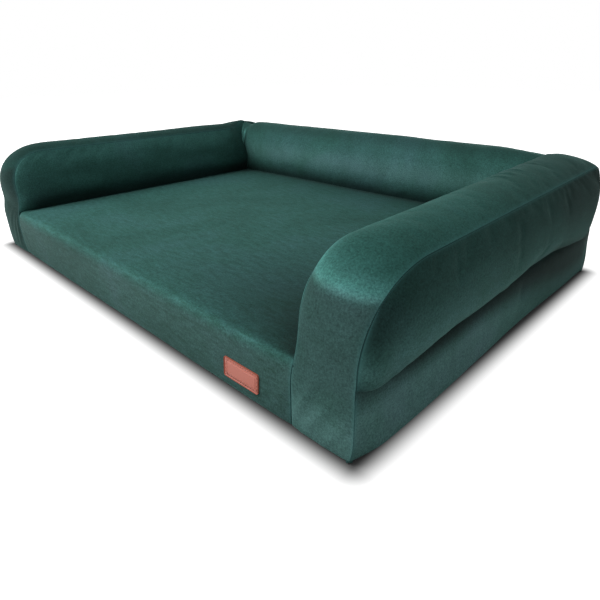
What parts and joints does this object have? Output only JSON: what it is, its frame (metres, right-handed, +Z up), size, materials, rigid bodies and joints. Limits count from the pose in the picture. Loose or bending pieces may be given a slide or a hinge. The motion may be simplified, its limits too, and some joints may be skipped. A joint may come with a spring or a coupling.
{
  "type": "orthopedic dog bed",
  "caption": "Rectangular velvet dog bed with a thick foam mattress, bolsters on both short sides and the back, an open front, a leather tag and a rear zip.",
  "frame": {"origin": "on the floor under the middle of the bed", "axes": "+X across the bed to the right as seen from its open front, +Y from the front to the back, +Z up"},
  "size_m": [1.028, 0.7109, 0.218],
  "materials": {
    "velvet": "satin",
    "underside_cloth": "matte",
    "lining": "matte",
    "foam": "matte",
    "memory_foam": "matte",
    "label_leather": "satin",
    "label_thread": "matte",
    "zip_cloth": "matte",
    "zip_nylon": "satin",
    "zip_metal": "satin"
  },
  "bodies": {
    "bed": {"seat_and_front_panel": "velvet", "left_arm_gusset": "velvet", "right_arm_gusset": "velvet", "left_arm_inner_panel": "velvet", "right_arm_inner_panel": "velvet", "left_arm_outer_panel": "velvet", "right_arm_outer_panel": "velvet", "left_base_band": "velvet", "right_base_band": "velvet", "rear_band_lower": "velvet", "rear_band_upper": "velvet", "zip_end_tabs": "velvet", "back_bolster_front_panel": "velvet", "back_bolster_rear_panel": "velvet", "bottom_panel": "underside_cloth", "mattress_liner": "lining", "base_foam_core": "foam", "left_arm_foam": "foam", "right_arm_foam": "foam", "back_bolster_foam": "foam", "memory_foam_top": "memory_foam", "label": "label_leather", "label_stitching": "label_thread", "zip_tape_upper": "zip_cloth", "zip_tape_lower": "zip_cloth", "zip_teeth_upper": "zip_nylon", "zip_teeth_lower": "zip_nylon", "zip_stops": "zip_metal"},
    "zip_slider": {"zip_slider": "zip_metal"},
    "zip_pull": {"zip_pull": "zip_metal"}
  },
  "joints": [
    {"name": "zip_slide", "type": "slide", "parent": "bed", "child": "zip_slider", "axis": [-1, 0, 0], "range_m": [0, 0.753]},
    {"name": "pull_hinge", "type": "hinge", "parent": "zip_slider", "child": "zip_pull", "pos_m": [0.3765, 0.34945, 0.062], "axis": [0, 0, -1], "range_deg": [0, 170]}
  ]
}
